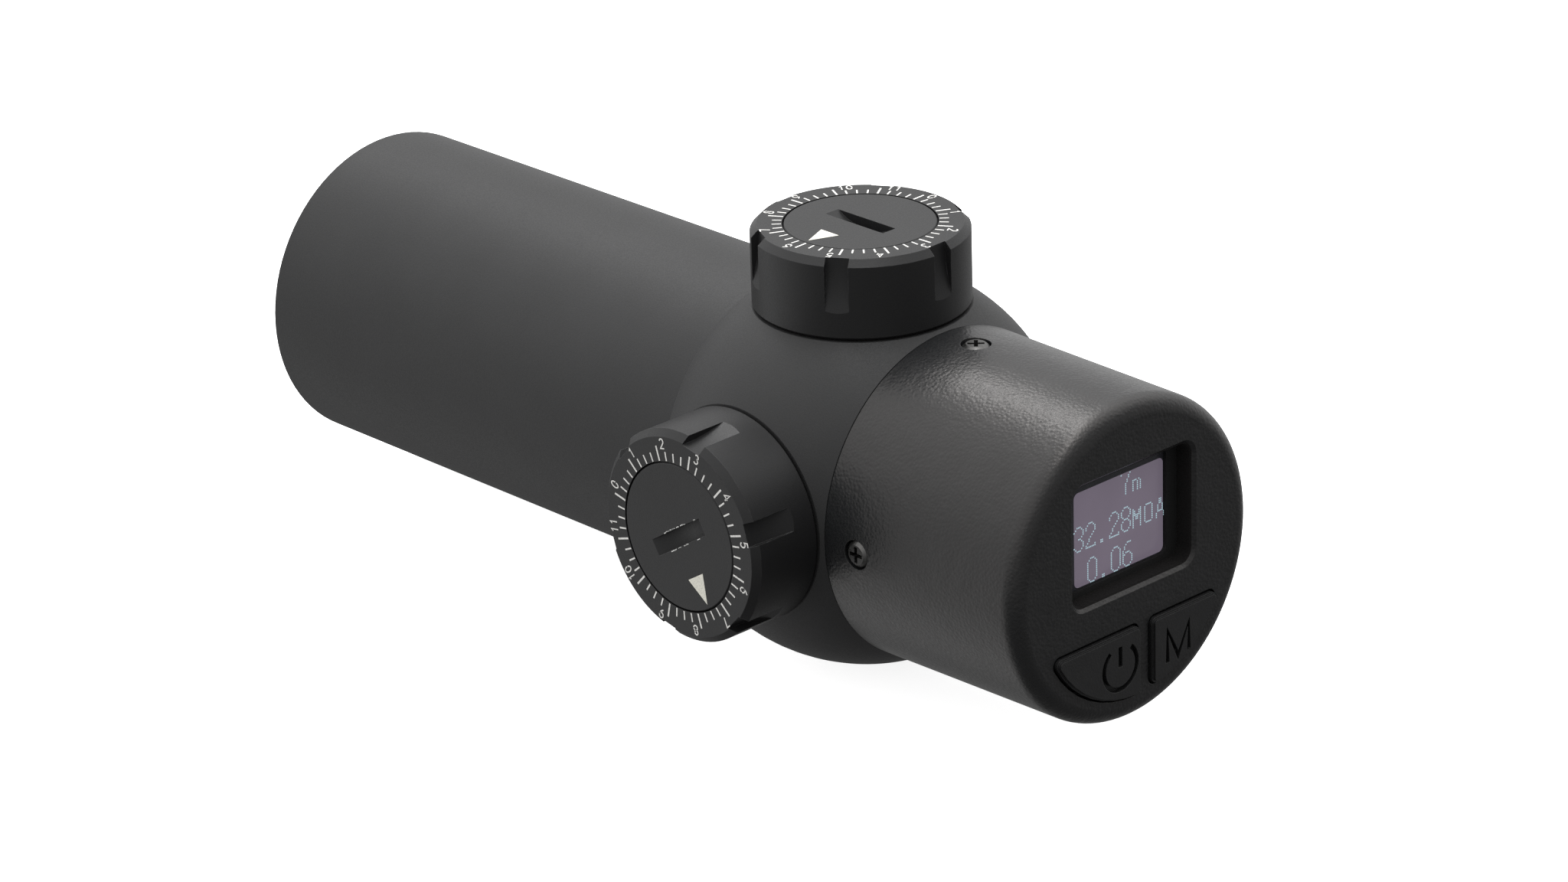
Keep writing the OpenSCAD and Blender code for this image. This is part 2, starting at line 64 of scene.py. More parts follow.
# The turrets' local frame: x and y across the dial, z out along its axis
TURRET_PLACE = Vector(JOINT["elevation_adjust"]["pos_m"])
TOWARD_TOP = Matrix.Translation(TURRET_PLACE)
SIDEWAYS = Matrix(((0, 0, -1), (0, 1, 0), (1, 0, 0))).to_4x4()
TOWARD_LEFT = Matrix.Translation(TURRET_PLACE) @ SIDEWAYS
DIAL_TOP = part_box("elevation_dial")[1].z

# The rear face's local frame: x right, y up, z out of the face towards the user
REAR_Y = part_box("rear_housing")[0].y
PANEL_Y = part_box("display_panel")[0].y
FACE_TURN = Matrix(((1, 0, 0), (0, 0, -1), (0, 1, 0))).to_4x4()

# The walls of the display's window, behind its sloping lip, where the rear housing's material paints
# shade: near-black and fully rough
WINDOW_LIP = 0.35 * MM
SHADED_WINDOW_SHAFT = ((-8.8 * MM, REAR_Y + WINDOW_LIP, -2.9 * MM), (8.8 * MM, PANEL_Y, 10.5 * MM))

# How far paint stands above the metal that it is on
PAINT = 0.015 * MM

# In degrees on a dial: where its 0 mark and its screw's painted arrow point at rest
ELEVATION_ZERO, ELEVATION_ARROW = 2.7, 180
WINDAGE_ZERO, WINDAGE_ARROW = 77.6, 212
# The coin slot: its width, and its direction on the side screw's head, across the arrow
SLOT_W = 1.8 * MM
SLOT_TURN = WINDAGE_ARROW + 90

# The room's light: a level all round, and more or less of it toward some directions
ROOM_LIGHT = 0.40
BACKDROP_LIGHT, BACKDROP_WAY = 0.95, (0.65, 0.72, 0.05)
UNDER_SHADE = 0.3
REAR_SHADE = 0.95
LOW_GLOW, LOW_GLOW_WAY = 0.65, (-0.5, 0.65, -0.55)
SKY_LIGHT, SKY_WAY = 0.85, (-0.45, 0.2, 0.87)
RIGHT_LIGHT, RIGHT_WAY = 0.9, (0.6, -0.1, 0.8)
# The soft strip overhead: its place, width, length and power in watts
STRIP_AT, STRIP_W, STRIP_L, STRIP_POWER = (0.05, 0.07, 0.50), 0.13, 0.70, 1.7
FLOOR_GLOW, FLOOR_HALF = 0.85, 2.0


# ---------------------------------------------------------------- nodes for materials
class Shader:
    """A small helper that wires one procedural material."""

    def __init__(self, name, **sockets):
        self.material = bpy.data.materials.new(name)
        self.material.use_nodes = True
        self.tree = self.material.node_tree
        self.tree.nodes.clear()
        self.out = self.tree.nodes.new("ShaderNodeOutputMaterial")
        self.bsdf = self.tree.nodes.new("ShaderNodeBsdfPrincipled")
        self.link(self.bsdf, "BSDF", self.out, "Surface")
        for socket, value in sockets.items():
            self.bsdf.inputs[socket.replace("_", " ")].default_value = value
        self.place = self.add("ShaderNodeTexCoord")

    def add(self, kind, **settings):
        node = self.tree.nodes.new(kind)
        for key, value in settings.items():
            if hasattr(node, key):
                setattr(node, key, value)
            else:
                node.inputs[key.replace("_", " ")].default_value = value
        return node

    def link(self, source, output, target, socket):
        self.tree.links.new(source.outputs[output], target.inputs[socket])

    def noise(self, size, detail=2.0, roughness=0.5):
        """Noise whose features are about size metres across."""
        node = self.add("ShaderNodeTexNoise", Scale=1.0 / size, Detail=detail, Roughness=roughness)
        self.link(self.place, "Object", node, "Vector")
        return node

    def ramp(self, source, output, low, high, start, end):
        """Maps start..end of a value to low..high, clamped."""
        node = self.add("ShaderNodeMapRange", From_Min=start, From_Max=end, To_Min=low, To_Max=high)
        self.link(source, output, node, "Value")
        return node

    def blend(self, factor, output, dark, light):
        """Mixes two colours by a value."""
        node = self.add("ShaderNodeMix", data_type="RGBA")
        node.inputs[6].default_value = (*dark, 1)
        node.inputs[7].default_value = (*light, 1)
        self.link(factor, output, node, "Factor")
        return node

    def worn_edges(self, reach, most):
        """most on sharp edges and 0 elsewhere, from the difference that a rounding bevel would make; it
        masks a painted edge highlight.
        """
        bevel = self.add("ShaderNodeBevel", samples=6, Radius=reach)
        plain = self.add("ShaderNodeNewGeometry")
        dot = self.add("ShaderNodeVectorMath", operation="DOT_PRODUCT")
        self.link(bevel, "Normal", dot, 0)
        self.link(plain, "Normal", dot, 1)
        return self.ramp(dot, "Value", most, 0.0, 0.82, 0.985)

    def inside(self, low, high):
        """1 inside a box given by its lowest and highest corner, 0 outside."""
        middle = (Vector(low) + Vector(high)) / 2
        half = (Vector(high) - Vector(low)) / 2
        offset = self.add("ShaderNodeVectorMath", operation="SUBTRACT")
        offset.inputs[1].default_value = middle
        self.link(self.place, "Object", offset, 0)
        size = self.add("ShaderNodeVectorMath", operation="ABSOLUTE")
        self.link(offset, 0, size, 0)
        parts = self.add("ShaderNodeSeparateXYZ")
        self.link(size, 0, parts, 0)
        result = None
        for axis in range(3):
            near = self.add("ShaderNodeMath", operation="LESS_THAN")
            near.inputs[1].default_value = half[axis]
            self.link(parts, axis, near, 0)
            if result is None:
                result = near
            else:
                both = self.add("ShaderNodeMath", operation="MULTIPLY")
                self.link(result, 0, both, 0)
                self.link(near, 0, both, 1)
                result = both
        return result

    def rounded(self, reach):
        """A normal that rounds sharp edges over a small reach."""
        return self.add("ShaderNodeBevel", samples=6, Radius=reach)

    def bump(self, source, output, height, previous=None):
        """Relief of a height in metres, over the normal of the node before it."""
        node = self.add("ShaderNodeBump", Strength=1.0, Distance=height)
        self.link(source, output, node, "Height")
        if previous is not None:
            self.link(previous, "Normal", node, "Normal")
        self.link(node, "Normal", self.bsdf, "Normal")
        return node


def anodised(name, tone, rough, grain, specular):
    """Bead-blasted, black anodised aluminium: fine grain, faint clouding, and a painted highlight that
    lightens sharp edges in patches.
    """
    s = Shader(name, Specular_IOR_Level=specular)
    cloud = s.noise(9 * MM, 3.0, 0.55)
    fine = s.noise(grain, 2.0, 0.6)
    # Painted highlight: sharp edges, in noise patches, are mixed toward a lighter grey
    edge = s.worn_edges(0.12 * MM, 0.35)
    patch = s.ramp(s.noise(1.1 * MM, 3.0, 0.6), "Fac", 0.0, 1.0, 0.42, 0.62)
    edge_glint = s.add("ShaderNodeMath", operation="MULTIPLY")
    s.link(edge, "Result", edge_glint, 0)
    s.link(patch, "Result", edge_glint, 1)
    base = s.blend(cloud, "Fac", [0.82 * c for c in tone], [1.18 * c for c in tone])
    # The lighter grey of the painted edge highlight
    glinted = s.add("ShaderNodeMix", data_type="RGBA")
    glinted.inputs[7].default_value = (0.16, 0.16, 0.165, 1)
    s.link(edge_glint, 0, glinted, "Factor")
    s.link(base, 2, glinted, 6)
    s.link(glinted, 2, s.bsdf, "Base Color")
    s.link(s.ramp(fine, "Fac", rough - 0.06, rough + 0.07, 0.3, 0.7), "Result", s.bsdf, "Roughness")
    s.bump(fine, "Fac", 0.010 * MM, s.rounded(0.07 * MM))
    return s.material


def moulded(name, tone, rough, grain, height, tint=(1, 1, 1), specular=0.5, shade_box=None):
    """Textured moulded plastic: a rounded pebble grain over a slight waviness.
    The last argument, if given, is the box (lowest, highest corner) of a recess whose walls get painted
    shade: near-black and fully rough."""
    s = Shader(name, Specular_IOR_Level=specular, Specular_Tint=(*tint, 1))
    cells = s.add("ShaderNodeTexVoronoi", feature="SMOOTH_F1", Scale=1.0 / grain, Smoothness=0.8)
    s.link(s.place, "Object", cells, "Vector")
    wave = s.noise(2.2 * MM, 2.0, 0.5)
    fine = s.noise(grain * 0.6, 2.0, 0.6)
    base = s.blend(wave, "Fac", [0.85 * c for c in tone], [1.2 * c for c in tone])
    gloss = s.ramp(fine, "Fac", rough - 0.07, rough + 0.08, 0.3, 0.7)
    if shade_box:
        # Painted shade: inside the recess's box the colour goes near-black and the surface fully rough
        in_shade = s.inside(*shade_box)
        shaded_walls = s.add("ShaderNodeMix", data_type="RGBA")
        shaded_walls.inputs[7].default_value = (0.0012, 0.0012, 0.0014, 1)
        s.link(in_shade, 0, shaded_walls, "Factor")
        s.link(base, 2, shaded_walls, 6)
        s.link(shaded_walls, 2, s.bsdf, "Base Color")
        matt = s.add("ShaderNodeMath", operation="MAXIMUM")
        s.link(gloss, "Result", matt, 0)
        s.link(in_shade, 0, matt, 1)
        s.link(matt, 0, s.bsdf, "Roughness")
    else:
        s.link(base, 2, s.bsdf, "Base Color")
        s.link(gloss, "Result", s.bsdf, "Roughness")
    first = s.bump(wave, "Fac", 0.05 * MM, s.rounded(0.08 * MM))
    s.bump(cells, "Distance", -height, first)
    return s.material


def metal(name, tone, rough):
    """Bare or plated metal with fine handling scratches."""
    s = Shader(name, Metallic=1.0)
    fine = s.noise(0.3 * MM, 4.0, 0.7)
    cloud = s.noise(2.5 * MM, 2.0, 0.5)
    base = s.blend(cloud, "Fac", [0.75 * c for c in tone], [1.1 * c for c in tone])
    s.link(base, 2, s.bsdf, "Base Color")
    s.link(s.ramp(fine, "Fac", rough - 0.08, rough + 0.14, 0.3, 0.7), "Result", s.bsdf, "Roughness")
    s.bump(fine, "Fac", 0.006 * MM)
    return s.material


def rubber(name, tone):
    """Matte rubber with a fine dusty grain."""
    s = Shader(name, Specular_IOR_Level=0.3)
    fine = s.noise(0.12 * MM, 3.0, 0.6)
    base = s.blend(fine, "Fac", [0.7 * c for c in tone], [1.3 * c for c in tone])
    s.link(base, 2, s.bsdf, "Base Color")
    s.link(s.ramp(fine, "Fac", 0.62, 0.85, 0.3, 0.7), "Result", s.bsdf, "Roughness")
    s.bump(fine, "Fac", 0.012 * MM)
    return s.material


def glass(name):
    """Coated optical glass, a little blue in its reflection."""
    s = Shader(name, Transmission_Weight=1.0, IOR=1.52, Specular_Tint=(0.72, 0.70, 1.0, 1))
    haze = s.noise(3 * MM, 3.0, 0.5)
    s.bsdf.inputs["Base Color"].default_value = (0.95, 0.97, 1.0, 1)
    s.link(s.ramp(haze, "Fac", 0.01, 0.05, 0.3, 0.7), "Result", s.bsdf, "Roughness")
    return s.material


def board(name):
    """Solder mask with faint copper tracks beneath it."""
    s = Shader(name, Coat_Weight=0.4, Coat_Roughness=0.25)
    tracks = s.add("ShaderNodeTexBrick", Scale=1.0 / (1.4 * MM), Mortar_Size=0.09)
    s.link(s.place, "Object", tracks, "Vector")
    base = s.blend(tracks, "Fac", (0.008, 0.09, 0.035), (0.02, 0.16, 0.07))
    s.link(base, 2, s.bsdf, "Base Color")
    s.link(s.ramp(s.noise(0.4 * MM), "Fac", 0.35, 0.5, 0.3, 0.7), "Result", s.bsdf, "Roughness")
    s.bump(tracks, "Fac", 0.02 * MM)
    return s.material


def paint(name, tone):
    """Engraved marks filled with paint, not quite even."""
    s = Shader(name, Specular_IOR_Level=0.35)
    cover = s.noise(0.16 * MM, 3.0, 0.7)
    base = s.blend(s.ramp(cover, "Fac", 0.0, 1.0, 0.3, 0.55), "Result", [0.72 * c for c in tone], tone)
    s.link(base, 2, s.bsdf, "Base Color")
    s.link(s.ramp(cover, "Fac", 0.65, 0.45, 0.3, 0.7), "Result", s.bsdf, "Roughness")
    s.bump(cover, "Fac", 0.006 * MM)
    return s.material


def lit_panel(name, tone, glow):
    """A display's lit area under its cover glass: a faint pixel grid, and a soft glow."""
    s = Shader(name, Roughness=0.22, Coat_Weight=0.5, Coat_Roughness=0.06)
    grid = s.add("ShaderNodeTexBrick", Scale=1.0 / (0.21 * MM), Mortar_Size=0.03, offset=0.0)
    grid.inputs["Brick Width"].default_value = 1.0
    grid.inputs["Row Height"].default_value = 1.0
    s.link(s.place, "Object", grid, "Vector")
    cloud = s.noise(5 * MM, 2.0, 0.5)
    base = s.blend(cloud, "Fac", [0.9 * c for c in tone], [1.1 * c for c in tone])
    s.link(base, 2, s.bsdf, "Base Color")
    s.link(base, 2, s.bsdf, "Emission Color")
    s.bsdf.inputs["Emission Strength"].default_value = glow
    s.bump(grid, "Fac", 0.002 * MM)
    return s.material


def floor_finish():
    """Pale paper with a faint glow of its own."""
    s = Shader("floor_paper", Specular_IOR_Level=0.2)
    fibre = s.noise(0.6 * MM, 3.0, 0.6)
    base = s.blend(fibre, "Fac", (0.90, 0.90, 0.90), (0.94, 0.94, 0.94))
    s.link(base, 2, s.bsdf, "Base Color")
    s.bsdf.inputs["Roughness"].default_value = 0.8
    s.bsdf.inputs["Emission Color"].default_value = (1, 1, 1, 1)
    s.bsdf.inputs["Emission Strength"].default_value = FLOOR_GLOW
    s.bump(fibre, "Fac", 0.01 * MM)
    return s.material


MATERIALS = {
    "body_metal": anodised("body_metal", (0.025, 0.025, 0.0255), 0.56, 0.16 * MM, 0.35),
    "dial_metal": anodised("dial_metal", (0.014, 0.014, 0.0145), 0.44, 0.13 * MM, 0.35),
    "moulded_black": moulded("moulded_black", (0.014, 0.0148, 0.0158), 0.34, 0.32 * MM, 0.03 * MM,
                             (1.0, 0.95, 0.92), 0.50, SHADED_WINDOW_SHAFT),
    "button_black": moulded("button_black", (0.011, 0.011, 0.0115), 0.44, 0.2 * MM, 0.012 * MM),
    "steel": metal("steel", (0.42, 0.41, 0.40), 0.30),
    "blackened_steel": metal("blackened_steel", (0.15, 0.148, 0.145), 0.38),
    "brass": metal("brass", (0.62, 0.44, 0.17), 0.32),
    "clear_glass": glass("clear_glass"),
    "rubber_black": rubber("rubber_black", (0.012, 0.012, 0.012)),
    "inner_metal": metal("inner_metal", (0.09, 0.09, 0.095), 0.45),
    "board_green": board("board_green"),
    "display_face": moulded("display_face", (0.040, 0.040, 0.048), 0.2, 0.5 * MM, 0.001 * MM),
    "sensor_gold": metal("sensor_gold", (0.80, 0.60, 0.28), 0.26),
    "battery_wrap": moulded("battery_wrap", (0.10, 0.13, 0.19), 0.35, 0.8 * MM, 0.004 * MM),
}
DIAL_PAINT = paint("dial_paint", (0.88, 0.87, 0.84))
ARROW_PAINT = paint("arrow_paint", (0.88, 0.86, 0.76))
LIT = lit_panel("display_lit", (0.12, 0.101, 0.131), 0.9)
LIT_DOTS = lit_panel("display_dots", (0.36, 0.50, 0.56), 0.75)
BARE_METAL = metal("bare_aluminium", (0.72, 0.72, 0.70), 0.4)
FLOOR = floor_finish()


# ---------------------------------------------------------------- mesh tools
def new_piece(name, mesh_maker, body, material, place=Matrix.Identity(4)):
    """Makes one piece from a function that fills a bmesh, and lets it ride on a body."""
    bm = bmesh.new()
    mesh_maker(bm)
    bm.transform(place)
    bmesh.ops.recalc_face_normals(bm, faces=bm.faces)
    mesh = bpy.data.meshes.new(name)
    bm.to_mesh(mesh)
    bm.free()
    piece = bpy.data.objects.new(name, mesh)
    bpy.context.scene.collection.objects.link(piece)
    mesh.materials.append(material)
    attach(piece, body)
    return piece


def prism(bm, outline, low, high):
    """A closed prism over a flat outline, from height low to height high."""
    bottom = [bm.verts.new((x, y, low)) for x, y in outline]
    top = [bm.verts.new((x, y, high)) for x, y in outline]
    bm.faces.new(list(reversed(bottom)))
    bm.faces.new(top)
    count = len(outline)
    for i in range(count):
        j = (i + 1) % count
        bm.faces.new((bottom[i], bottom[j], top[j], top[i]))


def stroke(bm, points, width, low, high):
    """A pen stroke of constant width along flat points, as a closed strip with square ends."""
    count = len(points)
    rails = []
    for i, point in enumerate(points):
        before = points[i - 1] if i > 0 else point
        after = points[i + 1] if i < count - 1 else point
        into = (Vector(point) - Vector(before)).normalized() if point != before else None
        out = (Vector(after) - Vector(point)).normalized() if point != after else None
        heading = ((into or out) + (out or into)).normalized()
        side = Vector((-heading.y, heading.x))
        stretch = 1.0 / max(0.5, heading.dot(out or into))
        reach = side * (width / 2 * stretch)
        left = Vector(point) + reach
        right = Vector(point) - reach
        corners = ((left, low), (right, low), (right, high), (left, high))
        rails.append([bm.verts.new((v.x, v.y, h)) for v, h in corners])
    for a, b in zip(rails, rails[1:]):
        for k in range(4):
            m = (k + 1) % 4
            bm.faces.new((a[k], a[m], b[m], b[k]))
    bm.faces.new(rails[0])
    bm.faces.new(list(reversed(rails[-1])))


def arc(cx, cy, rx, ry, start, end, steps=14):
    """Points on an ellipse from a start angle to an end angle, in degrees."""
    angles = [math.radians(start + (end - start) * i / steps) for i in range(steps + 1)]
    return [(cx + rx * math.cos(a), cy + ry * math.sin(a)) for a in angles]


# ---------------------------------------------------------------- engraved dials
# Each figure's strokes on a cell that is 1 high and about 0.7 wide
FIGURES = {
    "0": [arc(0.34, 0.5, 0.28, 0.5, 0, 345)],
    "1": [[(0.16, 0.78), (0.36, 1.0), (0.36, 0.0)]],
    "2": [arc(0.34, 0.72, 0.26, 0.28, 165, -35, 8) + [(0.08, 0.0), (0.62, 0.0)]],
    "3": [arc(0.32, 0.76, 0.24, 0.24, 150, -85, 8), arc(0.32, 0.27, 0.28, 0.27, 85, -150, 9)],
    "4": [[(0.5, 0.0), (0.5, 1.0), (0.06, 0.3), (0.66, 0.3)]],
    "5": [[(0.58, 1.0), (0.16, 1.0), (0.12, 0.56)] + arc(0.32, 0.32, 0.28, 0.32, 115, -150, 9)],
    "6": [arc(0.34, 0.3, 0.27, 0.3, 0, 345), [(0.08, 0.36), (0.2, 0.72), (0.48, 1.0)]],
    "7": [[(0.08, 1.0), (0.6, 1.0), (0.26, 0.0)]],
    "8": [arc(0.34, 0.76, 0.22, 0.24, 0, 345), arc(0.34, 0.26, 0.27, 0.26, 0, 345)],
    "9": [arc(0.34, 0.7, 0.27, 0.3, 0, 345), [(0.6, 0.64), (0.48, 0.28), (0.2, 0.0)]],
}
FIGURE_STEP = 0.82


def write_number(bm, text, size, pen, place):
    """Writes a number with its middle at the origin of place, tops toward place's +y."""
    width = FIGURE_STEP * (len(text) - 1) + 0.68
    for index, figure in enumerate(text):
        for line in FIGURES[figure]:
            shifted = [(x + index * FIGURE_STEP - width / 2, y - 0.5) for x, y in line]
            moved = [place @ Vector((x * size, y * size, 0)) for x, y in shifted]
            stroke(bm, [(v.x, v.y) for v in moved], pen, DIAL_TOP, DIAL_TOP + PAINT)


def dial_marks(zero):
    """Forty-eight marks, a number beside every fourth; zero is where the 0 mark points, in degrees."""
    major_in, major_out, minor_out = 7.95 * MM, 9.5 * MM, 8.9 * MM
    number_r, number_size, pen = 9.72 * MM, 1.0 * MM, 0.14 * MM
    numbers, quarters = 12, 4

    def fill(bm):
        for mark in range(numbers * quarters):
            angle = math.radians(zero - mark * 360 / (numbers * quarters))
            way = Vector((math.cos(angle), math.sin(angle)))
            outer = minor_out if mark % quarters else major_out
            width = 0.17 * MM if mark % quarters else 0.2 * MM
            stroke(bm, [tuple(way * major_in), tuple(way * outer)], width, DIAL_TOP, DIAL_TOP + PAINT)
        for number in range(numbers):
            beside = 5.6 if number < 10 else 8.2
            angle = math.radians(zero - number * 360 / numbers - beside)
            centre = Vector((math.cos(angle), math.sin(angle), 0)) * number_r
            place = Matrix.Translation(centre) @ Matrix.Rotation(angle - math.pi / 2, 4, "Z")
            write_number(bm, str(number), number_size, pen, place)

    return fill


def arrow(heading):
    """The painted triangle on the adjusting screw's head."""

    def fill(bm):
        base, tip, half = 4.25 * MM, 7.25 * MM, 1.25 * MM
        prism(bm, [(base, -half), (tip, 0.0), (base, half)], DIAL_TOP, DIAL_TOP + PAINT)
        bm.transform(Matrix.Rotation(math.radians(heading), 4, "Z"))

    return fill


def slot_scratches(bm):
    """Bright flecks along the coin slot's edges, where a coin has slipped."""
    draw = random.Random(7)
    half_length, half_width = 3.9 * MM, SLOT_W / 2 + 0.05 * MM
    for edge, flecks in ((1, 11), (-1, 6)):
        for _ in range(flecks):
            start = draw.uniform(-0.6, 0.85) * half_length
            length = draw.uniform(0.25, 0.9) * MM
            sway = draw.uniform(-0.06, 0.06) * MM
            width = draw.uniform(0.05, 0.11) * MM
            y = edge * (half_width + draw.uniform(0.0, 0.07) * MM)
            line = [(start, y), (start + length / 2, y + sway), (start + length, y)]
            stroke(bm, line, width, DIAL_TOP, DIAL_TOP + PAINT)
    bm.transform(Matrix.Rotation(math.radians(SLOT_TURN), 4, "Z"))


def make_dials():
    for turret, place, zero, heading in (
        ("elevation", TOWARD_TOP, ELEVATION_ZERO, ELEVATION_ARROW),
        ("windage", TOWARD_LEFT, WINDAGE_ZERO, WINDAGE_ARROW),
    ):
        new_piece(turret + "_dial_marks", dial_marks(zero), turret + "_dial", DIAL_PAINT, place)
        new_piece(turret + "_arrow", arrow(heading), turret + "_screw", ARROW_PAINT, place)
    new_piece("windage_slot_scratches", slot_scratches, "windage_screw", BARE_METAL, TOWARD_LEFT)


# ---------------------------------------------------------------- display
# The pitch of its square grid of dots, and where the grid and the lit area lie on the panel
DOT = 0.2097 * MM
SCREEN_LEFT, SCREEN_TOP = -5.9 * MM, 8.3 * MM
LIT_LEFT, LIT_RIGHT, LIT_LOW, LIT_ROUND = -5.85 * MM, 6.85 * MM, -1.76 * MM, 0.6 * MM
# Strokes of each sign on a cell 7 dots wide and 13 high: x and y of both ends, y down
DOT_SIGNS = {
    "0": [(2, 0, 4, 0), (1, 1, 1, 1), (5, 1, 5, 1), (0, 2, 0, 10), (6, 2, 6, 10), (1, 11, 1, 11),
          (5, 11, 5, 11), (2, 12, 4, 12)],
    "2": [(0, 2, 0, 3), (1, 1, 1, 1), (2, 0, 4, 0), (5, 1, 5, 1), (6, 2, 6, 4), (5, 5, 0, 11),
          (0, 12, 6, 12), (6, 11, 6, 11)],
    "3": [(0, 2, 0, 2), (1, 1, 1, 1), (2, 0, 4, 0), (5, 1, 5, 1), (6, 2, 6, 4), (5, 5, 5, 5), (3, 6, 4, 6),
          (5, 7, 5, 7), (6, 8, 6, 10), (5, 11, 5, 11), (2, 12, 4, 12), (1, 11, 1, 11), (0, 10, 0, 10)],
    "6": [(3, 0, 5, 0), (2, 1, 2, 1), (1, 2, 1, 3), (0, 4, 0, 10), (1, 11, 1, 11), (2, 12, 4, 12),
          (5, 11, 5, 11), (6, 7, 6, 10), (5, 6, 5, 6), (2, 5, 4, 5), (1, 6, 1, 6)],
    "7": [(0, 0, 6, 0), (0, 1, 0, 2), (6, 1, 6, 2), (5, 3, 5, 4), (4, 5, 4, 6), (3, 7, 3, 12)],
    "8": [(2, 0, 4, 0), (1, 1, 1, 1), (5, 1, 5, 1), (0, 2, 0, 4), (6, 2, 6, 4), (1, 5, 1, 5), (5, 5, 5, 5),
          (2, 6, 4, 6), (1, 7, 1, 7), (5, 7, 5, 7), (0, 8, 0, 10), (6, 8, 6, 10), (1, 11, 1, 11),
          (5, 11, 5, 11), (2, 12, 4, 12)],
    ".": [(2, 11, 3, 11), (2, 12, 3, 12)],
    "m": [(0, 7, 0, 12), (1, 7, 2, 7), (3, 8, 3, 12), (4, 7, 4, 7), (5, 8, 5, 12)],
    "M": [(0, 3, 0, 12), (1, 4, 1, 6), (2, 6, 2, 8), (3, 6, 3, 8), (4, 4, 4, 6), (5, 3, 5, 12)],
    "O": [(1, 3, 4, 3), (0, 4, 0, 11), (5, 4, 5, 11), (1, 12, 4, 12)],
    "A": [(2, 3, 3, 3), (2, 4, 2, 5), (3, 4, 3, 5), (1, 6, 1, 8), (4, 6, 4, 8), (1, 9, 4, 9),
          (0, 10, 0, 12), (5, 10, 5, 12)],
}
SIGN_CELL = 8
# Text, its left column and its top row; the first line stands partly above the lit rows
DISPLAY_LINES = (("7m", 32, -2), ("32.28MOA", 0, 17), ("0.06", 9, 35))


def dots_of(sign):
    """The dots that a sign's strokes cover."""
    covered = set()
    for x0, y0, x1, y1 in DOT_SIGNS[sign]:
        steps = max(abs(x1 - x0), abs(y1 - y0), 1)
        for i in range(steps + 1):
            covered.add((round(x0 + (x1 - x0) * i / steps), round(y0 + (y1 - y0) * i / steps)))
    return covered


def display_dots(bm):
    """Square dots, smaller than their pitch."""
    size = 0.66 * DOT
    for text, left, top in DISPLAY_LINES:
        for index, sign in enumerate(text):
            for column, row in sorted(dots_of(sign)):
                if top + row >= 0:
                    x = SCREEN_LEFT + (left + index * SIGN_CELL + column) * DOT
                    y = SCREEN_TOP - (top + row + 1) * DOT
                    prism(bm, [(x, y), (x + size, y), (x + size, y + size), (x, y + size)], 0, 2 * PAINT)


def rounded_box(left, right, low, high, radius):
    """The outline of a rectangle with round corners."""
    corners = ((right, high, 0), (left, high, 90), (left, low, 180), (right, low, 270))
    outline = []
    for x, y, start in corners:
        cx = x - radius if x == right else x + radius
        cy = y - radius if y == high else y + radius
        outline += arc(cx, cy, radius, radius, start, start + 90, 8)
    return outline


def lit_area(bm):
    prism(bm, rounded_box(LIT_LEFT, LIT_RIGHT, LIT_LOW, SCREEN_TOP, LIT_ROUND), 0, PAINT)


def make_display():
    place = Matrix.Translation((0, PANEL_Y, 0)) @ FACE_TURN
    new_piece("display_lit_area", lit_area, "housing", LIT, place)
    new_piece("display_figures", display_dots, "housing", LIT_DOTS, place)


# ---------------------------------------------------------------- buttons
ENGRAVING = 0.65 * MM
BUTTON_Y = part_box("power_button")[0].y


def power_sign(bm):
    """An open ring with a bar through its gap."""
    pen, x, y, radius = 0.54 * MM, -2.75 * MM, -10.2 * MM, 2.34 * MM
    stroke(bm, arc(x, y, radius, radius, 127, 410, 40), pen, -ENGRAVING, ENGRAVING)
    stroke(bm, [(x, y + 0.05 * MM), (x, y + 2.2 * MM)], pen, -ENGRAVING, ENGRAVING)


def mode_sign(bm):
    """The letter M."""
    pen, left, right, top, low = 0.54 * MM, 4.06 * MM, 7.16 * MM, -8.6 * MM, -12.07 * MM
    middle = ((left + right) / 2, low + 0.3 * MM)
    stroke(bm, [(left, low), (left, top), middle, (right, top), (right, low)], pen, -ENGRAVING, ENGRAVING)


def make_buttons():
    """Rounds the two buttons' edges and engraves their signs."""
    place = Matrix.Translation((0, BUTTON_Y, 0)) @ FACE_TURN
    slot = "button_black"
    for name, sign in (("power", power_sign), ("mode", mode_sign)):
        node = name + "_button"
        cutter = new_piece(name + "_sign_cutter", sign, node, MATERIALS[slot], place)
        cutter.hide_render = True
        soften(node)
        engrave = NODES[node].modifiers.new("sign", "BOOLEAN")
        engrave.operation = "DIFFERENCE"
        engrave.solver = "EXACT"
        engrave.object = cutter


def soften(node):
    """Rounds a moulded node's sharp edges."""
    piece = NODES[node]
    weld = piece.modifiers.new("weld", "WELD")
    weld.merge_threshold = 0.002 * MM
    bevel = piece.modifiers.new("edges", "BEVEL")
    bevel.width = 0.28 * MM
    bevel.segments = 4
    bevel.limit_method = "ANGLE"
    bevel.angle_limit = math.radians(40)
    bevel.use_clamp_overlap = True
    bevel.harden_normals = True


# ---------------------------------------------------------------- CAD nodes' materials
def finish_cad_nodes():
    """Every carried-over node gets the procedural material of its slot."""
    for piece in NODES.values():
        for index, material in enumerate(piece.data.materials):
            slot = material.name.split(".")[0]
            piece.data.materials[index] = MATERIALS[slot]
    NODES["housing_screws"].data.materials[0] = MATERIALS["blackened_steel"]


# ---------------------------------------------------------------- stage
CAMERA_AT = Vector((-0.36592, -0.42095, 0.22646))
CAMERA_LOOKS_AT = Vector((-0.0054, -0.0370, 0.0020))
CAMERA_ROLL = math.radians(-1.759)
CAMERA_LENS = 128.8


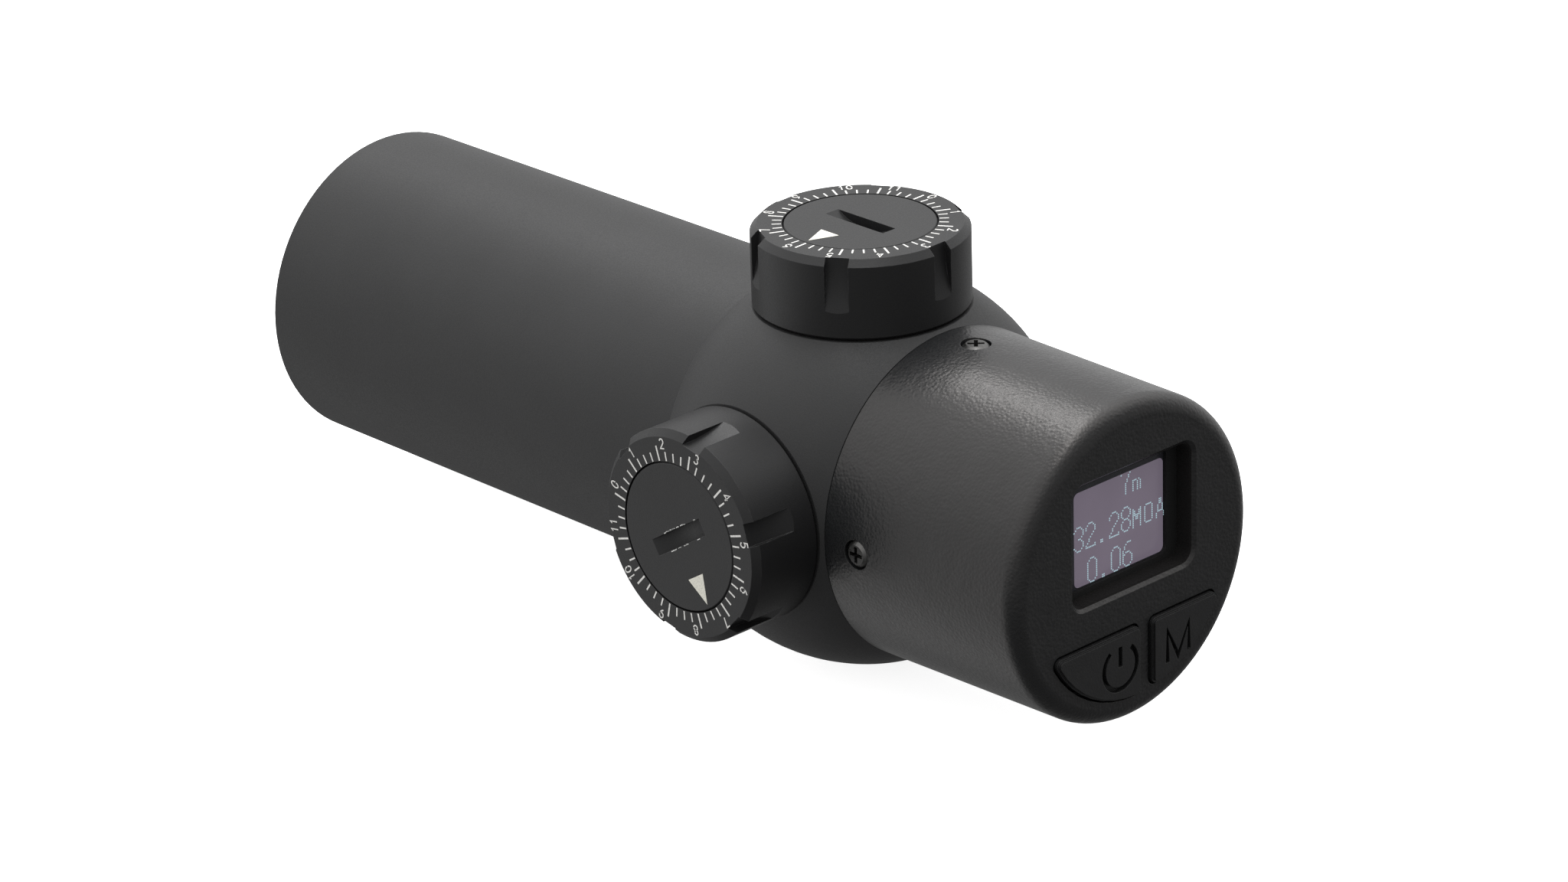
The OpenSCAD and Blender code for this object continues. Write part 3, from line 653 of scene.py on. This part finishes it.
def make_camera():
    """The photograph's viewpoint, aimed and rolled as it was solved from the dials and outlines."""
    camera = bpy.data.objects.new("camera", bpy.data.cameras.new("camera"))
    bpy.context.scene.collection.objects.link(camera)
    forward = (CAMERA_LOOKS_AT - CAMERA_AT).normalized()
    right = forward.cross(Vector((0, 0, 1))).normalized()
    up = right.cross(forward)
    cos, sin = math.cos(CAMERA_ROLL), math.sin(CAMERA_ROLL)
    x_axis = right * cos + up * sin
    y_axis = up * cos - right * sin
    turn = Matrix((x_axis, y_axis, -forward)).transposed().to_4x4()
    camera.matrix_world = Matrix.Translation(CAMERA_AT) @ turn
    camera.data.lens = CAMERA_LENS
    camera.data.clip_start = 0.01
    bpy.context.scene.camera = camera


def area_light(name, place, target, width, height, power):
    lamp = bpy.data.lights.new(name, "AREA")
    lamp.shape = "RECTANGLE"
    lamp.size = width
    lamp.size_y = height
    lamp.energy = power
    holder = bpy.data.objects.new(name, lamp)
    bpy.context.scene.collection.objects.link(holder)
    holder.location = place
    holder.rotation_euler = (Vector(target) - Vector(place)).to_track_quat("-Z", "Y").to_euler()


def make_light():
    """A pale room, brighter behind the object and above it, with a long soft strip overhead."""
    world = bpy.data.worlds.new("studio")
    bpy.context.scene.world = world
    world.use_nodes = True
    tree = world.node_tree
    background = tree.nodes["Background"]
    background.inputs["Color"].default_value = (1, 1, 1, 1)
    way = tree.nodes.new("ShaderNodeTexCoord")

    def toward(direction, start, end, low, high):
        """A level that changes from low to high as a direction comes nearer to the given one."""
        facing = tree.nodes.new("ShaderNodeVectorMath")
        facing.operation = "DOT_PRODUCT"
        facing.inputs[1].default_value = Vector(direction).normalized()
        tree.links.new(way.outputs["Generated"], facing.inputs[0])
        node = tree.nodes.new("ShaderNodeMapRange")
        node.interpolation_type = "SMOOTHSTEP"
        node.inputs["From Min"].default_value = start
        node.inputs["From Max"].default_value = end
        node.inputs["To Min"].default_value = low
        node.inputs["To Max"].default_value = high
        tree.links.new(facing.outputs["Value"], node.inputs["Value"])
        return node.outputs["Result"]

    def combine(operation, first, second):
        node = tree.nodes.new("ShaderNodeMath")
        node.operation = operation
        tree.links.new(first, node.inputs[0])
        tree.links.new(second, node.inputs[1])
        return node.outputs["Value"]

    level = toward(BACKDROP_WAY, -0.1, 0.8, ROOM_LIGHT, BACKDROP_LIGHT)
    level = combine("MULTIPLY", level, toward((0, 0, 1), -0.55, 0.0, UNDER_SHADE, 1.0))
    level = combine("MULTIPLY", level, toward((0, -1, 0), 0.0, 0.9, 1.0, REAR_SHADE))
    level = combine("ADD", level, toward(LOW_GLOW_WAY, 0.7, 1.0, 0.0, LOW_GLOW))
    level = combine("ADD", level, toward(SKY_WAY, 0.2, 1.0, 0.0, SKY_LIGHT))
    level = combine("ADD", level, toward(RIGHT_WAY, 0.75, 1.0, 0.0, RIGHT_LIGHT))
    seen = tree.nodes.new("ShaderNodeLightPath")
    shown = tree.nodes.new("ShaderNodeMix")
    shown.inputs["B"].default_value = 1.0
    tree.links.new(seen.outputs["Is Camera Ray"], shown.inputs["Factor"])
    tree.links.new(level, shown.inputs["A"])
    tree.links.new(shown.outputs["Result"], background.inputs["Strength"])
    centre = (0, TURRET_PLACE.y, 0)
    area_light("overhead_strip", STRIP_AT, centre, STRIP_W, STRIP_L, STRIP_POWER)


def make_floor():
    """A pale floor at the lowest point of the object, which throws no light up on it."""
    bm = bmesh.new()
    half, low = FLOOR_HALF, CAD_BOX[0][2]
    corners = ((-half, -half), (half, -half), (half, half), (-half, half))
    bm.faces.new([bm.verts.new((x, y, low)) for x, y in corners])
    mesh = bpy.data.meshes.new("floor")
    bm.to_mesh(mesh)
    bm.free()
    floor = bpy.data.objects.new("floor", mesh)
    bpy.context.scene.collection.objects.link(floor)
    mesh.materials.append(FLOOR)
    floor.visible_diffuse = False
    floor.visible_glossy = False


make_camera()
make_light()
make_floor()
finish_cad_nodes()
make_dials()
make_display()
make_buttons()
bpy.context.scene.view_settings.view_transform = "Standard"

bpy.context.view_layer.update()
